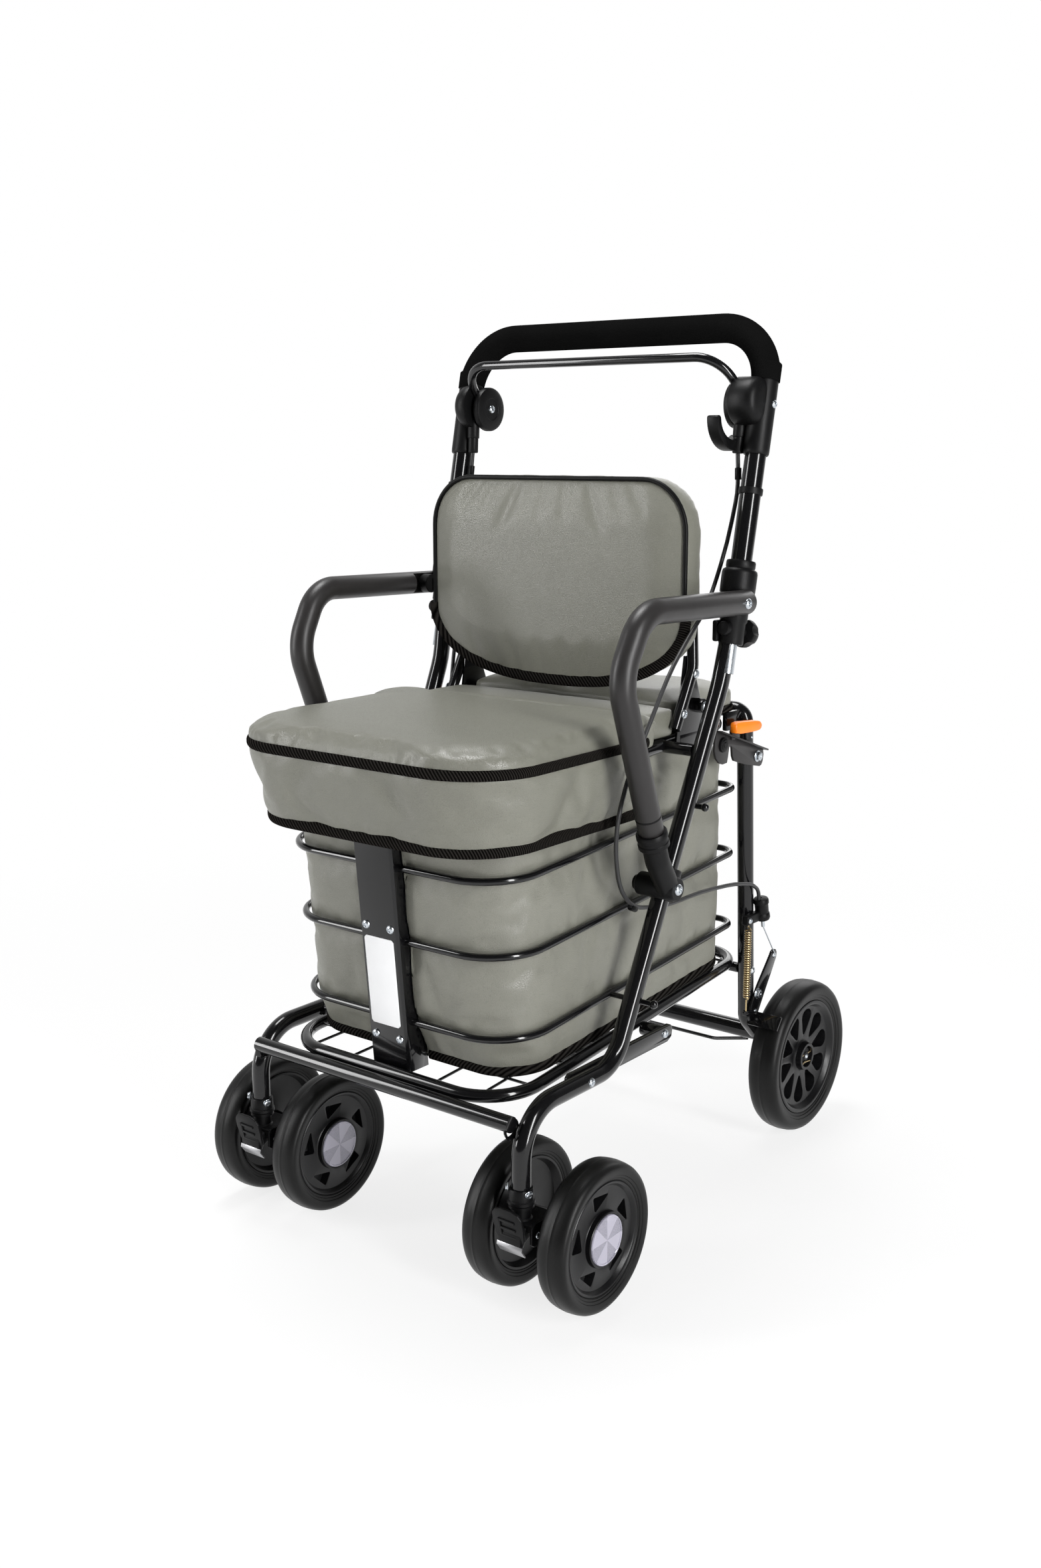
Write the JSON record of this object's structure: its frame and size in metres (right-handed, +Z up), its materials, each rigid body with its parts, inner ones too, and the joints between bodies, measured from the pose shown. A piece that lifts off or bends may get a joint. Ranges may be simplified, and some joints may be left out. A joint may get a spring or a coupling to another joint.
{
  "type": "shopping walker",
  "caption": "Four-footed shopping walker on twin front casters and braked rear wheels, with padded lift-up seat, bag, backrest, armrests and push handle.",
  "frame": {"origin": "on the floor, under the middle of the walker's bounding box", "axes": "+Z up, the front casters face -Y, the pushing handle is towards +Y, +X is the picture's right"},
  "size_m": [0.4776, 0.7, 0.9533],
  "materials": {
    "gloss_black_paint": "gloss black powder coat on steel tube",
    "charcoal_paint": "satin charcoal paint on sheet steel and armrests",
    "black_plastic": "satin moulded plastic",
    "tyre_rubber": "solid tyre, matt",
    "hub_plastic": "semi-gloss moulded wheel disc",
    "foam": "matt closed-cell foam",
    "grey_vinyl": "grey-green vinyl, soft sheen",
    "brass_wire": "bright spring wire",
    "orange_plastic": "orange moulded plastic",
    "white_label": "plain white label, nothing printed",
    "cable_sleeve": "ribbed cable sheath"
  },
  "bodies": {
    "frame": {"side_tube_left": "gloss_black_paint", "side_tube_right": "gloss_black_paint", "front_cross_tube": "gloss_black_paint", "base_loop": "gloss_black_paint", "floor_grid": "gloss_black_paint", "basket_hoop_upper": "gloss_black_paint", "basket_hoop_middle": "gloss_black_paint", "basket_hoop_lower": "gloss_black_paint", "front_channel": "charcoal_paint", "label_plate": "white_label", "seat_loop": "gloss_black_paint", "height_collar_left": "black_plastic", "height_collar_right": "black_plastic", "armrest_left": "charcoal_paint", "armrest_right": "charcoal_paint", "armrest_bracket_left": "black_plastic", "armrest_bracket_right": "black_plastic", "backrest_cushion": "grey_vinyl", "backrest_frame": "gloss_black_paint", "seat_bridge": "grey_vinyl", "shopping_bag": "grey_vinyl", "brake_cable_left": "cable_sleeve", "brake_cable_right": "cable_sleeve"},
    "handle": {"handle_tube": "gloss_black_paint", "foam_grip": "foam", "brake_housing_left": "black_plastic", "brake_housing_right": "black_plastic"},
    "brake_bar": {"brake_bar": "gloss_black_paint"},
    "rear_frame": {"rear_frame": "gloss_black_paint", "cable_clamp_left": "black_plastic", "cable_clamp_right": "black_plastic", "brake_spring_left": "brass_wire", "brake_spring_right": "brass_wire"},
    "seat_lid": {"seat_lid": "grey_vinyl"},
    "rear_flap": {"rear_flap": "grey_vinyl"},
    "height_knob_left": {"height_knob_left": "black_plastic"},
    "brake_arm_left": {"brake_arm_left": "gloss_black_paint"},
    "latch_left": {"latch_plate_left": "charcoal_paint", "release_tab_left": "orange_plastic"},
    "rear_wheel_left": {"rear_tyre_left": "tyre_rubber", "rear_hub_left": "hub_plastic"},
    "caster_left": {"caster_fork_left": "black_plastic"},
    "caster_pedal_left": {"caster_pedal_left": "black_plastic"},
    "front_wheel_left_inner": {"front_tyre_left_inner": "tyre_rubber", "front_hub_left_inner": "hub_plastic"},
    "front_wheel_left_outer": {"front_tyre_left_outer": "tyre_rubber", "front_hub_left_outer": "hub_plastic"},
    "height_knob_right": {"height_knob_right": "black_plastic"},
    "brake_arm_right": {"brake_arm_right": "gloss_black_paint"},
    "latch_right": {"latch_plate_right": "charcoal_paint", "release_tab_right": "orange_plastic"},
    "rear_wheel_right": {"rear_tyre_right": "tyre_rubber", "rear_hub_right": "hub_plastic"},
    "caster_right": {"caster_fork_right": "black_plastic"},
    "caster_pedal_right": {"caster_pedal_right": "black_plastic"},
    "front_wheel_right_inner": {"front_tyre_right_inner": "tyre_rubber", "front_hub_right_inner": "hub_plastic"},
    "front_wheel_right_outer": {"front_tyre_right_outer": "tyre_rubber", "front_hub_right_outer": "hub_plastic"}
  },
  "joints": [
    {"name": "handle_slide", "type": "slide", "parent": "frame", "child": "handle", "axis": [0, 0.2079, 0.9781], "range_m": [0, 0.06], "deforming": ["brake_cable_left", "brake_cable_right"]},
    {"name": "brake_bar_hinge", "type": "hinge", "parent": "handle", "child": "brake_bar", "pos_m": [0, 0.0785, 0.86], "axis": [1, 0, 0], "range_deg": [-18, 0], "stiffness_Nm_per_rad": 0.5, "springref_deg": 11.46},
    {"name": "rear_fold", "type": "hinge", "parent": "frame", "child": "rear_frame", "pos_m": [0, 0.187, 0.212], "axis": [1, 0, 0], "range_deg": [-70, 0], "deforming": ["brake_cable_left", "brake_cable_right"]},
    {"name": "lid_hinge", "type": "hinge", "parent": "frame", "child": "seat_lid", "pos_m": [0, -0.0735, 0.546], "axis": [1, 0, 0], "range_deg": [-70, 0]},
    {"name": "flap_hinge", "type": "hinge", "parent": "frame", "child": "rear_flap", "pos_m": [0, 0.002, 0.556], "axis": [1, 0, 0], "range_deg": [0, 45]},
    {"name": "knob_turn_left", "type": "hinge", "parent": "frame", "child": "height_knob_left", "pos_m": [-0.19, 0.04358, 0.62882], "axis": [0, 0.9781, -0.2079], "continuous": true},
    {"name": "brake_arm_hinge_left", "type": "hinge", "parent": "rear_frame", "child": "brake_arm_left", "pos_m": [-0.145, 0.193, 0.183], "axis": [1, 0, 0], "range_deg": [0, 6], "deforming": ["brake_spring_left"]},
    {"name": "latch_hinge_left", "type": "hinge", "parent": "rear_frame", "child": "latch_left", "pos_m": [-0.145, 0.176, 0.472], "axis": [1, 0, 0], "range_deg": [-25, 0]},
    {"name": "rear_wheel_spin_left", "type": "hinge", "parent": "rear_frame", "child": "rear_wheel_left", "pos_m": [-0.168, 0.258, 0.092], "axis": [1, 0, 0], "continuous": true},
    {"name": "caster_swivel_left", "type": "hinge", "parent": "frame", "child": "caster_left", "pos_m": [-0.177, -0.3015, 0.118], "axis": [0, 0, 1], "continuous": true},
    {"name": "pedal_hinge_left", "type": "hinge", "parent": "caster_left", "child": "caster_pedal_left", "pos_m": [-0.177, -0.3015, 0.086], "axis": [1, 0, 0], "range_deg": [0, 12]},
    {"name": "front_wheel_spin_left_inner", "type": "hinge", "parent": "caster_left", "child": "front_wheel_left_inner", "pos_m": [-0.1317, -0.246, 0.075], "axis": [1, 0, 0], "continuous": true},
    {"name": "front_wheel_spin_left_outer", "type": "hinge", "parent": "caster_left", "child": "front_wheel_left_outer", "pos_m": [-0.2223, -0.246, 0.075], "axis": [1, 0, 0], "continuous": true},
    {"name": "knob_turn_right", "type": "hinge", "parent": "frame", "child": "height_knob_right", "pos_m": [0.19, 0.04358, 0.62882], "axis": [0, 0.9781, -0.2079], "continuous": true},
    {"name": "brake_arm_hinge_right", "type": "hinge", "parent": "rear_frame", "child": "brake_arm_right", "pos_m": [0.145, 0.193, 0.183], "axis": [1, 0, 0], "range_deg": [0, 6], "deforming": ["brake_spring_right"]},
    {"name": "latch_hinge_right", "type": "hinge", "parent": "rear_frame", "child": "latch_right", "pos_m": [0.145, 0.176, 0.472], "axis": [1, 0, 0], "range_deg": [-25, 0]},
    {"name": "rear_wheel_spin_right", "type": "hinge", "parent": "rear_frame", "child": "rear_wheel_right", "pos_m": [0.168, 0.258, 0.092], "axis": [1, 0, 0], "continuous": true},
    {"name": "caster_swivel_right", "type": "hinge", "parent": "frame", "child": "caster_right", "pos_m": [0.177, -0.3015, 0.118], "axis": [0, 0, 1], "continuous": true},
    {"name": "pedal_hinge_right", "type": "hinge", "parent": "caster_right", "child": "caster_pedal_right", "pos_m": [0.177, -0.3015, 0.086], "axis": [1, 0, 0], "range_deg": [0, 12]},
    {"name": "front_wheel_spin_right_inner", "type": "hinge", "parent": "caster_right", "child": "front_wheel_right_inner", "pos_m": [0.1317, -0.246, 0.075], "axis": [1, 0, 0], "continuous": true},
    {"name": "front_wheel_spin_right_outer", "type": "hinge", "parent": "caster_right", "child": "front_wheel_right_outer", "pos_m": [0.2223, -0.246, 0.075], "axis": [1, 0, 0], "continuous": true}
  ],
  "couplings": [
    {"joint": "brake_arm_hinge_left", "follows": "brake_bar_hinge", "ratio": -0.3333},
    {"joint": "brake_arm_hinge_right", "follows": "brake_bar_hinge", "ratio": -0.3333}
  ]
}
